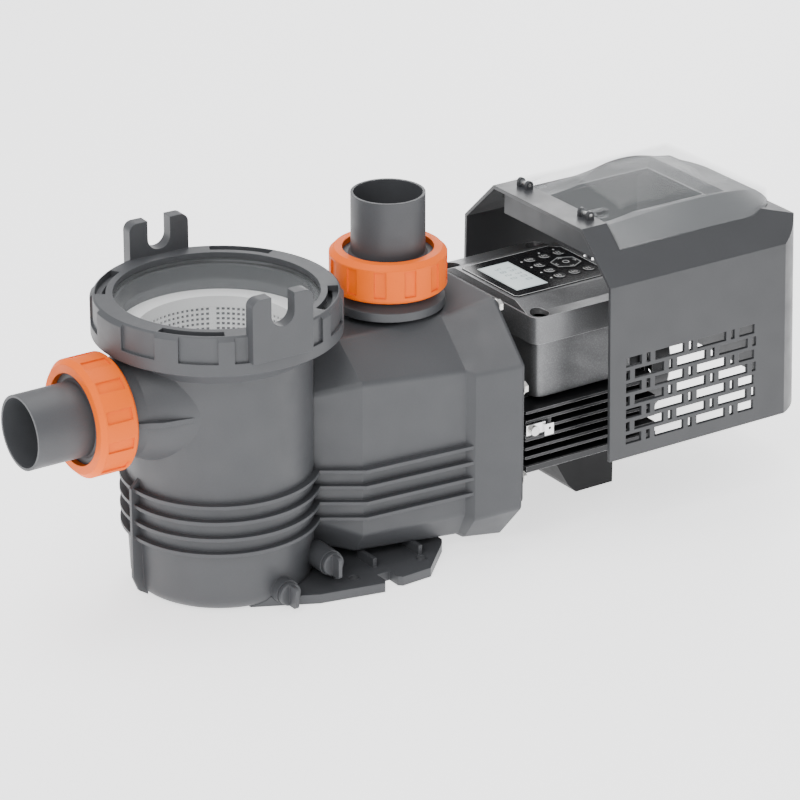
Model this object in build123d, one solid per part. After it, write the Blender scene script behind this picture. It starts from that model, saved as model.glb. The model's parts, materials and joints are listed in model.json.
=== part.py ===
from build123d import *
import os
from math import cos, pi, radians, sin, sqrt

# Pool pump, millimetres. Origin on the floor under the strainer pot's axis.
# +X runs from the pot to the motor, +Z is up, y = 0 is the plane of symmetry.

# Driving dimensions: strainer pot
POT_R = 75.2            # outer wall of the pot
POT_FOOT_R = 73.5       # the pot narrows a little towards its floor
POT_BOTTOM_ROUND = 12.0
POT_WALL = 6.2
POT_FLOOR = 7.0
POT_TOP = 236.0         # rim that carries the lid seal
NECK_R = 90.4           # threaded neck inside the locking ring
LEDGE_Z = 212.0         # ledge that carries the strainer basket
LEDGE_R = 80.5
RIB_R = 80.5
RIB_TOPS = [95.8, 82.1, 68.1, 54.6]
RIB_THICK = 3.0

# Locking ring and lid
RING_R = 99.65
RING_Z0, RING_Z1 = 213.3, 246.0
WINDOW_R = 81.5
RING_LIP = 4.6
FORK_TURN = -1.6        # degrees, how far the ring stops past the Y axis
FORK_TOP = 276.0
RUN_GAP = 0.4           # clearance between pieces that turn or slide

# Pipe unions, two-inch size
PIPE_R = 30.15
PIPE_WALL = 2.3
FLANGE_R = 39.6
TAILPIECE = 55.7
PORT_R = 40.6
PORT_BORE_R = 26.0
NUT_R = 47.75
NUT_LENGTH = 32.5
NUT_HOLE_R = 37.0
NUT_LIP = 5.0
NECK_PIPE_R = 37.5
INLET_Z = 167.4
INLET_END = -179.0
OUTLET_X = 161.5
OUTLET_END = 294.6

# Volute casing and its octagonal collar
SHAFT_Z = 108.0
WAIST_X, SHOULDER_X, RIDGE_X, COLLAR_X1 = 56.0, 91.0, 190.0, 221.0
CASING_WALL = 6.0
SUCTION_R, SUCTION_WALL_R, EYE_R = 30.0, 36.0, 33.0
EYE_X = 144.0
CHAMBER_R = 84.0
DIFFUSER_R, IMPELLER_R = 66.0, 58.0
BOLT_DEPTH = 10.0

# Motor
MOTOR_R = 52.0
MOTOR_X0, MOTOR_X1 = 240.0, 380.0
SHAFT_R = 8.0
FRAME_BLOCK = 48.0      # half width of the casting the fins stand on
FIN_REACH = 78.0
FIN_PITCH, FIN_COUNT, FIN_LOW = 8.0, 7, 61.0
FOOT_TOP = 56.5
TIE_R, TIE_CIRCLE = 2.0, 44.5

# Controller on the motor
CTRL_X0, CTRL_X1 = 262.0, 362.0
CTRL_HALF = 66.0
CTRL_JOINT = 163.0
LID_X0 = 256.0
LID_HALF = 72.0
LID_RIM = 187.0
PANEL_Z = 194.0
POCKET_Z = 188.6
LCD_X0, LCD_X1, LCD_HALF = 269.0, 300.4, 28.5
KEY_R = 5.4
KEY_GAP = 0.3
KEY_PROUD = 0.6
KEY_LOW = 189.8
NAV_X, NAV_R = 339.0, 13.0

# Sliding hood, drawn pulled back from its seat on the collar
HOOD_X0, HOOD_X1 = 308.5, 530.0   # the rear wall leans in from HOOD_X1 at floor level
HOOD_WALL = 3.0
HOOD_PROFILE = [(106.5, 60.0), (103.0, 212.0), (62.0, 250.3)]
HOOD_CORNER, HOOD_DRAFT = 66.0, 1.5
ROOF_BEND_X, ROOF_REAR_Z = 430.0, 231.0
SKIRT_X = 320.0
SKIRT_Z = 223.2
WINDOW_X0, WINDOW_X1, WINDOW_HALF = 346.0, 451.0, 38.0
HINGE_X, HINGE_Z = 327.0, 254.2
HINGE_Y = 42.5
# Dome: an arch across the pump, a long low curve from front to rear, a rounded rear end.
DOME_X0, DOME_X1, DOME_WALL = 334.0, 511.0, 2.5
DOME_HALF, DOME_SIDE_Z, DOME_RISE = 80.2, 233.0, 30.0
DOME_CREST = [(334, 250.3), (366, 257.5), (400, 262), (434, 263), (466, 258.5), (494, 249), (511, 240)]
# Tray under the dome: x, edge height, crest half width, crest height.
TRAY = [(330, 232, 46, 242.5), (376, 232, 47, 243), (428, 232.5, 56, 250),
        (462, 232.5, 54, 248), (490, 232.5, 44, 241), (514, 230.5, 32, 232.5)]
DISH_Z, DISH_SPREAD, DISH_TALL = 243.5, 2.6, 20.0
DOME_CORNER = 48.0
PIN_R = 1.5


# Small helpers

def box(x0, x1, y0, y1, z0, z1):
    centre = Pos((x0 + x1) / 2, (y0 + y1) / 2, (z0 + z1) / 2)
    return centre * Box(x1 - x0, y1 - y0, z1 - z0)


def rod_x(r, x0, x1, y=0.0, z=0.0):
    return Pos((x0 + x1) / 2, y, z) * Rot(0, 90, 0) * Cylinder(r, x1 - x0)


def rod_y(r, y0, y1, x=0.0, z=0.0):
    return Pos(x, (y0 + y1) / 2, z) * Rot(90, 0, 0) * Cylinder(r, y1 - y0)


def rod_z(r, z0, z1, x=0.0, y=0.0):
    return Pos(x, y, (z0 + z1) / 2) * Cylinder(r, z1 - z0)


def tube_x(outer, inner, x0, x1, y=0.0, z=0.0):
    return rod_x(outer, x0, x1, y, z) - rod_x(inner, x0 - 1, x1 + 1, y, z)


def tube_z(outer, inner, z0, z1, x=0.0, y=0.0):
    return rod_z(outer, z0, z1, x, y) - rod_z(inner, z0 - 1, z1 + 1, x, y)


def outline(points, radius=0.0):
    face = make_face(Polyline(*points, close=True))
    return fillet(face.vertices(), radius) if radius else face


def prism_x(points, x0, x1, radius=0.0):
    """A (y, z) outline run from x0 to x1."""
    return extrude(Plane.YZ.offset(x0) * outline(points, radius), amount=x1 - x0)


def prism_y(points, y0, y1, radius=0.0):
    """An (x, z) outline run from y0 to y1."""
    return extrude(Plane.XZ.offset(-y0) * outline(points, radius), amount=y0 - y1)


def prism_z(points, z0, z1, radius=0.0):
    """An (x, y) outline run from z0 to z1."""
    return extrude(Plane.XY.offset(z0) * outline(points, radius), amount=z1 - z0)


def spin_z(points, x=0.0, y=0.0):
    """An (r, z) outline turned about a vertical axis."""
    return Pos(x, y, 0) * revolve(Plane.XZ * outline(points), Axis.Z)


def spin_x(points, z=SHAFT_Z):
    """An (x, r) outline turned about a level axis at height z."""
    raised = [(x, z + r) for x, r in points]
    return revolve(Plane.XZ * outline(raised), Axis((0, 0, z), (1, 0, 0)))


def mirrored(half):
    """Close a list of (y, z) points on the +y side with its mirror image."""
    return half + [(-a, b) for a, b in reversed(half)]


def around(shape, count, axis_z=None, start=0.0):
    """Copies turned about Z, or about the shaft axis when axis_z is given."""
    copies = []
    for k in range(count):
        angle = start + 360 * k / count
        if axis_z is None:
            copies.append(Rot(0, 0, angle) * shape)
        else:
            copies.append(Pos(0, 0, axis_z) * Rot(angle, 0, 0) * Pos(0, 0, -axis_z) * shape)
    return copies


def group(shapes):
    return Compound(children=list(shapes))


# Strainer pot and volute

def octagon(top_half, top, side, side_top, side_low, low_half, low):
    return mirrored([(low_half, low), (side, side_low), (side, side_top), (top_half, top)])


CASING = [
    (WAIST_X, (20, 186, 46, 158, 50, 30, 26)),
    (SHOULDER_X, (34, 195, 69, 168, 36, 56, 17)),
    (RIDGE_X - 5, (40, 197, 77, 160, 34, 66, 11)),
    (RIDGE_X, (44, 198, 84, 158, 30, 68, 8)),
    (COLLAR_X1, (62, 211, 105, 166, 41, 74, 6)),
]


def pot_shell():
    r, b = POT_FOOT_R, POT_BOTTOM_ROUND
    side = Polyline((r, b), (POT_R, 54), (POT_R, 198))
    foot = ThreePointArc((r - b, 0), (r - b + b * sin(pi / 4), b - b * cos(pi / 4)), (r, b))
    rest = Polyline((POT_R, 198), (86.5, 210), (NECK_R, 214), (NECK_R, POT_TOP), (0, POT_TOP), (0, 0),
        (r - b, 0))
    return revolve(Plane.XZ * make_face(foot + side + rest), Axis.Z)


def casing_loft(stations, inset=0.0):
    """Straight walls between eight-sided sections, drawn in by inset."""
    faces = []
    for x, (top_half, top, side, side_top, side_low, low_half, low) in stations:
        half = inset / 2
        section = octagon(top_half - half, top - inset, side - inset, side_top - half,
                          side_low + half, low_half - half, low + inset)
        faces.append(Plane.YZ.offset(x) * outline(section, 7 - half))
    return loft(faces, ruled=True)


def volute_shell():
    return casing_loft(CASING)


def volute_cavity():
    """The water space behind the pot, round the suction tube."""
    space = casing_loft(CASING[:3], CASING_WALL)
    space -= rod_z(POT_R, 0, 220)
    space -= rod_x(SUCTION_WALL_R, 40, EYE_X, z=SHAFT_Z)
    rear = COLLAR_X1 + 1
    return space + spin_x([(RIDGE_X - 6, 0), (RIDGE_X - 6, 68), (200, CHAMBER_R), (rear, CHAMBER_R),
                           (rear, 0)])


def rib_band(top):
    """One outside rib: round the pot, then along the volute to the ridge."""
    flank = [(40, 56), (59.8, 53.9), (68, 59.4), (SHOULDER_X, 75), (RIDGE_X, 83)]
    plan = flank + [(x, -y) for x, y in reversed(flank)]
    return rod_z(RIB_R, top - RIB_THICK, top) + prism_z(plan, top - RIB_THICK, top)


def inlet_boss():
    cone = spin_x([(-98, 0), (-98, 38), (-88, 40), (-50, 56), (-50, 0)], INLET_Z)
    neck = rod_x(NECK_PIPE_R, -100, -50, z=INLET_Z)
    thread = rod_x(PORT_R, INLET_END + TAILPIECE, -98, z=INLET_Z)
    web = prism_z([(-100, 39), (-80, 49), (-55, 54), (-55, -54), (-80, -49), (-100, -39)], 165.2, 169.6)
    return cone + neck + thread + web


def outlet_boss():
    x = OUTLET_X
    cone = spin_z([(0, 200), (46, 200), (46, 207), (NECK_PIPE_R, 213), (0, 213)], x)
    neck = rod_z(NECK_PIPE_R, 205, 216, x)
    thread = rod_z(PORT_R, 214, OUTLET_END - TAILPIECE, x)
    return cone + neck + thread


PLUGS = {"pot": (11.0, -62.0, -82.0, 12.5), "volute": (55.0, -52.0, -77.0, 25.0)}


def drain_boss(x, y_in, y_face, z):
    return rod_y(10.5, y_face, y_in, x, z)


def keel():
    """The mould-line web down the inlet side of the pot."""
    return prism_y([(-70, 1), (-78, 6), (-83, 18), (-83, 96), (-70, 108)], -1.6, 1.6)


BOLT_SPOTS = [(57, 200), (93, 141), (93, 62), (58, 18)]


def bolt_places():
    return [(s * y, z) for y, z in BOLT_SPOTS for s in (1, -1)]


def pump_body():
    body = pot_shell() + volute_shell() + inlet_boss() + outlet_boss() + keel()
    for top in RIB_TOPS:
        body += rib_band(top)
    for place in PLUGS.values():
        body += drain_boss(*place)

    inner = POT_FOOT_R - POT_WALL
    cavity = spin_z([(0, POT_FLOOR), (inner - 8, POT_FLOOR), (inner, POT_FLOOR + 8), (inner + 1.7, 54),
                     (inner + 1.7, LEDGE_Z), (LEDGE_R, LEDGE_Z), (LEDGE_R, POT_TOP + 1), (0, POT_TOP + 1)])
    body -= cavity
    body -= tube_z(86.4, 82.6, POT_TOP - 2.6, POT_TOP + 1)
    body -= volute_cavity()
    body -= rod_x(PORT_BORE_R, -130, -50, z=INLET_Z)
    body -= rod_x(SUCTION_R, 55, EYE_X + 1, z=SHAFT_Z)
    body -= rod_x(EYE_R, EYE_X - 6, EYE_X + 1, z=SHAFT_Z)
    body -= rod_z(PORT_BORE_R, 176, 245, OUTLET_X)

    in_face, out_face = INLET_END + TAILPIECE, OUTLET_END - TAILPIECE
    body -= tube_x(34.6, 31.0, in_face - 1, in_face + 2.6, z=INLET_Z)
    body -= tube_z(34.6, 31.0, out_face - 2.6, out_face + 1, OUTLET_X)
    body -= tube_x(90.0, 86.4, COLLAR_X1 - 2.6, COLLAR_X1 + 1, z=SHAFT_Z)
    for x, y_in, y_face, z in PLUGS.values():
        body -= rod_y(6.2, y_face - 1, y_in + 30, x, z)
    for y, z in bolt_places():
        body -= rod_x(3.05, COLLAR_X1 - BOLT_DEPTH, COLLAR_X1 + 1, y, z)
    return body


def pot_region():
    """Where the strainer pot ends and the volute casing begins."""
    region = rod_z(POT_R + 0.3, -1, POT_TOP + 1) + rod_z(95, 197.5, POT_TOP + 1)
    region += box(-200, 55, -110, 110, -1, POT_TOP + 1)
    region += rod_x(SUCTION_WALL_R + 0.5, 50, EYE_X + 1, z=SHAFT_Z)
    x, y_in, y_face, z = PLUGS["volute"]
    return region + rod_y(11, y_face - 1, y_in, x, z)


def strainer_pot():
    return pump_body() & pot_region()


def volute_casing():
    return pump_body() - pot_region()


BASE_BOLTS = [(75.0, 80.0), (140.0, 80.0)]


def pump_base():
    """Mounting plate under the volute, with gussets up to the casing."""
    half = [(-14, 60), (-14, 66), (35.5, 91), (90, 102.6), (93, 98), (93, 86), (105, 86), (105, 98),
            (108, 101),
            (136, 99.5), (170, 66), (174, 60)]
    plate = prism_z(half + [(x, -y) for x, y in reversed(half)], 0, 8)
    for x in (99, 143, 62):
        for s in (1, -1):
            plate += box(x - 1.8, x + 1.8, min(s * 50, s * 74), max(s * 50, s * 74), 7, 16)
    plate -= pot_shell()
    plate -= volute_shell()
    for x, y_in, y_face, z in PLUGS.values():
        plate -= drain_boss(x, y_in, y_face, z)
        plate -= rod_y(11.5, y_face - 16, y_face + 2, x, z)
    for x, y in BASE_BOLTS:
        for s in (1, -1):
            plate -= rod_z(4.5, -1, 9, x, s * y)
    return plate


# Locking ring, lid and basket

def lid_ring():
    z0, z1 = RING_Z0, RING_Z1
    wall = NECK_R + RUN_GAP
    ring = spin_z([(wall, z0), (RING_R - 1, z0), (RING_R, z0 + 1), (RING_R, z1 - 3.5), (RING_R - 3.5, z1),
                   (WINDOW_R, z1), (WINDOW_R, z1 - RING_LIP), (wall, z1 - RING_LIP)])
    grips = []
    for middle, spread in ((0, 23.7), (40, 9), (70, 9.5), (110, 9.5), (140, 9)):
        wedge = prism_z([(0, 0)] + [(130 * cos(radians(a)), 130 * sin(radians(a)))
                                    for a in (-spread, 0, spread)], 223.9, z1 + 1)
        pocket = wedge - rod_z(RING_R - 2.2, z0, z1 + 2)
        for side in (270, 90):
            grips.append(Rot(0, 0, side + middle) * pocket)
    for pocket in grips:
        ring -= pocket
    slot = rod_z(95.4, z1 - 8, z1 + 1) - rod_z(87.0, z1 - 9, z1 + 2)
    wedge = prism_z([(0, 0)] + [(130 * cos(radians(a)), 130 * sin(radians(a))) for a in (-16, 0, 16)],
                    z1 - RING_LIP - 1, z1 + 1)
    for cut in around(slot & wedge, 4, start=46):
        ring -= cut
    for side in (0, 180):
        ring += Rot(0, 0, side + FORK_TURN) * fork()
    return ring


def fork():
    """Two prongs for a lever, standing on the ring at -Y."""
    half, notch, low = 26.8, 10.25, 224.0
    plate = prism_y([(-half, low), (half, low), (half, FORK_TOP), (-half, FORK_TOP)], -101.8, -91.2)
    plate = fillet(plate.edges().filter_by(Axis.Y).group_by(Axis.Z)[-1], 7)
    gap = rod_y(notch, -110, -80, 0, 250.5 + notch) + box(-notch, notch, -110, -80, 250.5 + notch, 300)
    plate -= gap
    return plate - rod_z(NECK_R + RUN_GAP, 200, RING_Z1 - RING_LIP)


def strainer_lid():
    """Clear cup-shaped lid, hung by its flange under the ring's lip."""
    top, low = RING_Z1 - RING_LIP - 0.3, 221.5
    return spin_z([(0, low), (77.5, low), (79.6, low + 2), (79.6, POT_TOP + 0.6), (87.2, POT_TOP + 0.6),
                   (87.2, top), (76.4, top), (76.4, low + 4.4), (0, low + 4.4)])


def lid_oring():
    return tube_z(86.2, 82.8, POT_TOP - 2.6, POT_TOP + 0.3)


def strainer_basket():
    """The basket's wall and rim, its perforations left out."""
    low, rim = 26.0, LEDGE_Z + 0.2
    r_low, r_top, wall = 58.0, 65.5, 2.2
    shell = spin_z([(0, low), (r_low, low), (r_top, rim), (79.8, rim), (79.8, rim + 3.2),
                    (r_top - wall, rim + 3.2),
                    (r_low - wall, low + wall), (0, low + wall)])
    return shell - rod_x(PORT_BORE_R, -80, -40, z=INLET_Z)


# Unions


def nut_on_x(x_out):
    """Union nut with its lip at x_out, opening towards +X."""
    end = x_out + NUT_LENGTH
    nut = spin_x([(x_out, NUT_HOLE_R), (x_out, NUT_R - 4), (x_out + 4, NUT_R), (end - 2, NUT_R),
                  (end, NUT_R - 2),
                  (end, PORT_R + RUN_GAP), (x_out + NUT_LIP, PORT_R + RUN_GAP), (x_out + NUT_LIP,
                      NUT_HOLE_R)],
                 INLET_Z)
    pad = box(x_out + 5.5, end - 5, -4.8, 4.8, INLET_Z + NUT_R - 1.6, INLET_Z + NUT_R + 3)
    return nut - around(pad, 12, INLET_Z, 11.5)


def inlet_nut():
    return nut_on_x(INLET_END + TAILPIECE - 4.3 - NUT_LIP)


def standing_up(shape):
    """Carry a piece from the level inlet to the upright outlet."""
    at_origin = Pos(0, 0, -INLET_Z) * shape
    upright = Rot(0, 90, 0) * at_origin
    return Pos(OUTLET_X, 0, OUTLET_END + INLET_END) * upright


def outlet_nut():
    return standing_up(inlet_nut())


def inlet_tailpiece():
    face = INLET_END + TAILPIECE - 0.2
    inner = PIPE_R - PIPE_WALL
    return spin_x([(INLET_END, inner), (INLET_END, PIPE_R), (face - 6, PIPE_R), (face - 4, PIPE_R + 2),
                   (face - 4, FLANGE_R), (face, FLANGE_R), (face, inner)], INLET_Z)


def outlet_tailpiece():
    return standing_up(inlet_tailpiece())


def inlet_oring():
    face = INLET_END + TAILPIECE
    return tube_x(34.4, 31.2, face - 0.1, face + 2.6, z=INLET_Z)


def outlet_oring():
    return standing_up(inlet_oring())


# Drain plugs

def drain_plug(x, y_in, y_face, z):
    head = rod_y(9.6, y_face - 5, y_face - 0.4, x, z)
    head = chamfer(head.edges().group_by(Axis.Y)[0], 1)
    grip = box(x - 1.6, x + 1.6, y_face - 14, y_face - 4, z - 9.2, z + 9.2)
    grip = fillet(grip.edges().filter_by(Axis.X).group_by(Axis.Y)[0], 3)
    shank = rod_y(6.14, y_face - 1, y_face + 12, x, z)
    return head + grip + shank


def drain_orings():
    rings = []
    for x, y_in, y_face, z in PLUGS.values():
        rings.append(rod_y(8.6, y_face - 0.3, y_face, x, z) - rod_y(6.4, y_face - 1, y_face + 1, x, z))
    return group(rings)


# Wet end, inside

def diffuser():
    seat = EYE_R - 0.2
    plate = spin_x([(153, seat), (153, DIFFUSER_R - 3), (186, DIFFUSER_R - 2.5), (186, DIFFUSER_R),
                    (150.4, DIFFUSER_R), (150.4, seat), (139, seat), (139, 30.4), (153, 30.4)])
    vent = rod_z(24, 150, 200, OUTLET_X)
    return plate - vent


def impeller():
    rim = IMPELLER_R
    front = spin_x([(146, 24.5), (146, 27.5), (158, 27.5), (158, rim), (156, rim), (156, 29.9), (142, 29.9),
                    (142, 24.5)])
    back = spin_x([(172, SHAFT_R), (172, rim), (174.5, rim), (174.5, 14), (188, 14), (188, SHAFT_R)])
    ring = tube_x(rim, 20, 157.5, 172.5, z=SHAFT_Z)
    arc = ThreePointArc((20, 0), (38, 17), (rim + 1, 10))
    vane = Plane.YZ.offset(157.5) * trace(arc, 3)
    vane = Pos(0, 0, SHAFT_Z) * extrude(vane, amount=15)
    part = front + back
    for blade in around(vane & ring, 6, SHAFT_Z):
        part += blade
    return part


def impeller_screw():
    return rod_x(9, 160, 171.9, z=SHAFT_Z) + rod_x(4, 171, 186, z=SHAFT_Z)


def seal_plate():
    edge = mirrored([(70, 11), (98.5, 44), (98.5, 163), (58, 206)])
    plate = prism_x(edge, COLLAR_X1, 227, 5)
    hub = spin_x([(204, 15.2), (204, 24), (222, 34), (227, 34), (227, 12), (212, 12), (212, 15.2)])
    plate -= rod_x(20, 220, 228, z=SHAFT_Z)
    plate += hub
    for y, z in bolt_places():
        plate -= rod_x(3.3, 220, 228, y, z)
    return plate


def seal_plate_oring():
    return tube_x(89.8, 86.6, COLLAR_X1 - 2.6, COLLAR_X1, z=SHAFT_Z)


def flange_bolts():
    bolts = []
    for y, z in bolt_places():
        head = Pos(228, y, z) * Rot(0, 90, 0) * extrude(RegularPolygon(5.2, 6), amount=4)
        washer = rod_x(6.2, 227, 228, y, z)
        bolts.append(head + washer + rod_x(3, COLLAR_X1 - BOLT_DEPTH + 1, 228, y, z))
    return group(bolts)


def seal_seat():
    return tube_x(15.2, 9.2, 204, 211.9, z=SHAFT_Z)


def seal_head():
    return spin_x([(188.2, SHAFT_R), (188.2, 13), (192, 13), (192, 11), (199, 11), (199, 13.5),
                   (203.7, 13.5),
                   (203.7, SHAFT_R)])


# Motor

def motor_shaft():
    return spin_x([(172.2, 4), (172.2, SHAFT_R), (391, SHAFT_R), (391, 6), (404, 6), (404, 0), (186, 0),
                   (186, 4)])


def motor_frame():
    bore = MOTOR_R - 5
    x0, x1 = MOTOR_X0 + 4, MOTOR_X1 - 4
    frame = tube_x(MOTOR_R, bore, MOTOR_X0, MOTOR_X1, z=SHAFT_Z)
    frame += box(x0, x1, -FRAME_BLOCK, FRAME_BLOCK, FOOT_TOP, SHAFT_Z + 4)
    for k in range(FIN_COUNT):
        z = FIN_LOW + FIN_PITCH * k
        frame += box(x0, x1, -FIN_REACH, FIN_REACH, z - 1.2, z + 1.2)
    lug = FIN_REACH - 1
    frame += box(x0, x0 + 26, -lug, lug, 86, 101)
    rail = FIN_REACH + 1.5
    frame += box(x0, x1, -rail, rail, FOOT_TOP, FOOT_TOP + 5.5)
    frame -= rod_x(bore, MOTOR_X0 - 1, MOTOR_X1 + 1, z=SHAFT_Z)
    return frame - rod_y(2.05, -80, -60, 250, 94)


def tie_places():
    places = []
    for angle in (45, 135, 225, 315):
        places.append((TIE_CIRCLE * cos(radians(angle)), SHAFT_Z + TIE_CIRCLE * sin(radians(angle))))
    return places


def front_endbell():
    bell = spin_x([(227.2, 12), (227.2, 40), (233, 60), (MOTOR_X0, 60), (MOTOR_X0, 24), (250, 22),
                   (250, 17.5),
                   (237, 17.5), (237, 12)])
    for y, z in tie_places():
        bell -= rod_x(TIE_R + 0.05, 231, MOTOR_X0 + 1, y, z)
    return bell


def rear_endbell():
    bell = spin_x([(MOTOR_X1, 57), (386, 55), (390, 50), (390, 12), (389, 12), (389, 17.5), (376, 17.5),
                   (376, 22),
                   (MOTOR_X1, 24)])
    for y, z in tie_places():
        bell -= rod_x(TIE_R + 0.05, MOTOR_X1 - 1, 391, y, z)
    return bell


def bearing(x0):
    width = 11
    return spin_x([(x0, SHAFT_R + 0.05), (x0, 10.4), (x0 + 1, 10.8), (x0 + 1, 14.8), (x0, 15.2), (x0, 17.5),
                   (x0 + width, 17.5), (x0 + width, 15.2), (x0 + width - 1, 14.8), (x0 + width - 1, 10.8),
                   (x0 + width, 10.4), (x0 + width, SHAFT_R + 0.05)])


def stator_core():
    core = tube_x(MOTOR_R - 5, 30, 272, 345, z=SHAFT_Z)
    slot = box(271, 346, -1.6, 1.6, SHAFT_Z + 29, SHAFT_Z + 40)
    core -= around(slot, 18, SHAFT_Z)
    for y, z in tie_places():
        core -= rod_x(TIE_R + 0.3, 271, 346, y, z)
    return core


def stator_windings():
    def turns(x0, x1):
        return spin_x([(x0, 33), (x0, 41.8), (x1, 41.8), (x1, 33)])
    front, rear = turns(258, 271.9), turns(345.1, 360)
    return group([fillet(front.edges(), 3), fillet(rear.edges(), 3)])


def rotor_core():
    stack = tube_x(29.4, SHAFT_R, 272, 345, z=SHAFT_Z)
    rings = tube_x(27, 18, 264, 353, z=SHAFT_Z)
    return stack + rings


def motor_tie_bolts():
    bolts = []
    for y, z in tie_places():
        bolts.append(rod_x(TIE_R, 231.2, 390.1, y, z) + rod_x(3.4, 390, 392.5, y, z))
    return group(bolts)


def cooling_fan():
    hub = tube_x(13, 6, 392, 404, z=SHAFT_Z)
    blade = box(393, 403, -1, 1, SHAFT_Z + 12, SHAFT_Z + 43)
    for copy in around(blade, 9, SHAFT_Z):
        hub += copy
    return hub


def fan_cover():
    cover = spin_x([(386.2, 58), (386.2, 59.5), (404, 59.5), (408, 56), (408, 0), (406.5, 0), (406.5, 55.4),
                    (403.4, 58)])
    slot = box(405, 409, -1.5, 1.5, SHAFT_Z + 14, SHAFT_Z + 48)
    return cover - around(slot, 24, SHAFT_Z)


def motor_foot():
    side = [(272, FOOT_TOP), (378, FOOT_TOP), (378, 46), (368, 40), (368, 0), (330, 0), (322, 8), (306,
            36), (272, 47)]
    return prism_y(side, -32, 32) - rod_x(MOTOR_R, 200, 400, z=SHAFT_Z)


def bonding_lug():
    strap = box(243, 262, -80.4, -78.0, 90, 99) + box(260, 269, -82.4, -80.0, 87, 97)
    strap -= rod_y(2.2, -90, -70, 250, 94)
    return strap - rod_y(1.2, -90, -70, 265, 93)


def bonding_screw():
    return rod_y(2.0, -80.6, -66, 250, 94) + rod_y(4.2, -83.6, -80.4, 250, 94)


# Controller

def controller_base():
    base = box(CTRL_X0, CTRL_X1, -CTRL_HALF, CTRL_HALF, 114, CTRL_JOINT)
    base = fillet(base.edges().filter_by(Axis.Z), 8)
    base -= rod_x(MOTOR_R, CTRL_X0 - 1, CTRL_X1 + 1, z=SHAFT_Z)
    for s in (1, -1):
        y0, y1 = sorted((s * 43, s * 62))
        base -= box(CTRL_X0 + 4, CTRL_X1 - 4, y0, y1, 146, CTRL_JOINT + 1)
    base -= rod_x(6, CTRL_X1 - 6, CTRL_X1 + 1, 52, 153)
    return base


def controller_gasket():
    band = box(CTRL_X0 + 1, CTRL_X1 - 1, -CTRL_HALF + 1, CTRL_HALF - 1, CTRL_JOINT, CTRL_JOINT + 0.5)
    return band - box(CTRL_X0 + 3.5, CTRL_X1 - 3.5, -62.5, 62.5, CTRL_JOINT - 1, CTRL_JOINT + 2)


def key_places():
    first = [(317.4, y) for y in (21.0, 7.0, -7.0, -21.0)]
    return first + [(332.3, 21.3), (347.0, 21.3), (332.3, -21.3), (347.0, -21.3)]


def screw_places():
    return [(x, s * (LID_HALF - 9)) for x in (267.0, 352.0) for s in (1, -1)]


def hexagon(radius, z0, z1):
    points = [(NAV_X + radius * 1.11 * cos(radians(a)), radius * sin(radians(a))) for a in range(30,
              390, 60)]
    return prism_z(points, z0, z1)


def controller_lid():
    floor = CTRL_JOINT + 0.5
    lid = box(LID_X0, CTRL_X1, -LID_HALF, LID_HALF, floor, LID_RIM)
    lid = fillet(lid.edges().filter_by(Axis.Z), 9)
    crown = prism_x(mirrored([(64, LID_RIM - 4), (60, LID_RIM), (43, PANEL_Z)]), LID_X0 + 0.8, CTRL_X1 - 1)
    lid += crown
    lid -= box(LID_X0 + 7, CTRL_X1 - 4, -CTRL_HALF + 4, CTRL_HALF - 4, floor - 1, 183)
    for x, y in screw_places():
        lid += rod_z(6, floor, 176, x, y)
        lid -= rod_z(8, 179, 200, x, y)
        lid -= rod_z(2.2, floor - 1, 200, x, y)
    lid -= box(LCD_X0, LCD_X1, -LCD_HALF, LCD_HALF, POCKET_Z, 200)
    for x, y in key_places():
        lid -= rod_z(KEY_R + KEY_GAP, POCKET_Z, 200, x, y)
    return lid - hexagon(NAV_R + KEY_GAP, POCKET_Z, 200)


def lid_screws():
    screws = []
    for x, y in screw_places():
        screws.append(rod_z(4.4, 179, 182.2, x, y) - rod_z(2, 180.6, 183, x, y) + rod_z(2.0, 164, 179.5,
            x, y))
    return group(screws)


def keypad_overlay():
    sheet = prism_z([(260, -37), (263, -40), (350, -40), (358, -32), (358, 32), (350, 40), (263, 40),
                     (260, 37)],
                    PANEL_Z, PANEL_Z + 0.7)
    sheet -= box(LCD_X0, LCD_X1, -LCD_HALF, LCD_HALF, PANEL_Z - 1, PANEL_Z + 2)
    for x, y in key_places():
        sheet -= rod_z(KEY_R + KEY_GAP, PANEL_Z - 1, PANEL_Z + 2, x, y)
    return sheet - hexagon(NAV_R + KEY_GAP, PANEL_Z - 1, PANEL_Z + 2)


def lcd_display():
    half = LCD_HALF - 0.1
    return box(LCD_X0 + 0.1, LCD_X1 - 0.1, -half, half, POCKET_Z, PANEL_Z + 0.7)


def key_cap(x, y):
    return rod_z(KEY_R, KEY_LOW, PANEL_Z + 0.7 + KEY_PROUD, x, y)


def nav_pad():
    pad = hexagon(NAV_R, KEY_LOW, PANEL_Z + 0.7 + KEY_PROUD)
    return pad - rod_z(4.9, 180, 200, NAV_X, 0)


def enter_key():
    return rod_z(4.6, KEY_LOW, PANEL_Z + 1.0 + KEY_PROUD, NAV_X, 0)


def circuit_board():
    board = box(266, 356, -55, 55, 170, 171.6)
    parts = [rod_z(7, 171.6, 182, 285, 30), rod_z(7, 171.6, 182, 285, -30), box(300, 322, -12, 12,
        171.6, 181),
             box(330, 350, -40, -16, 171.6, 179), box(330, 350, 16, 40, 171.6, 176)]
    for part in parts:
        board += part
    for x, y in ((270, 52), (352, 52), (270, -52), (352, -52)):
        board += rod_z(2.5, CTRL_JOINT - 16.9, 170.1, x, y)
    return board


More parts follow.
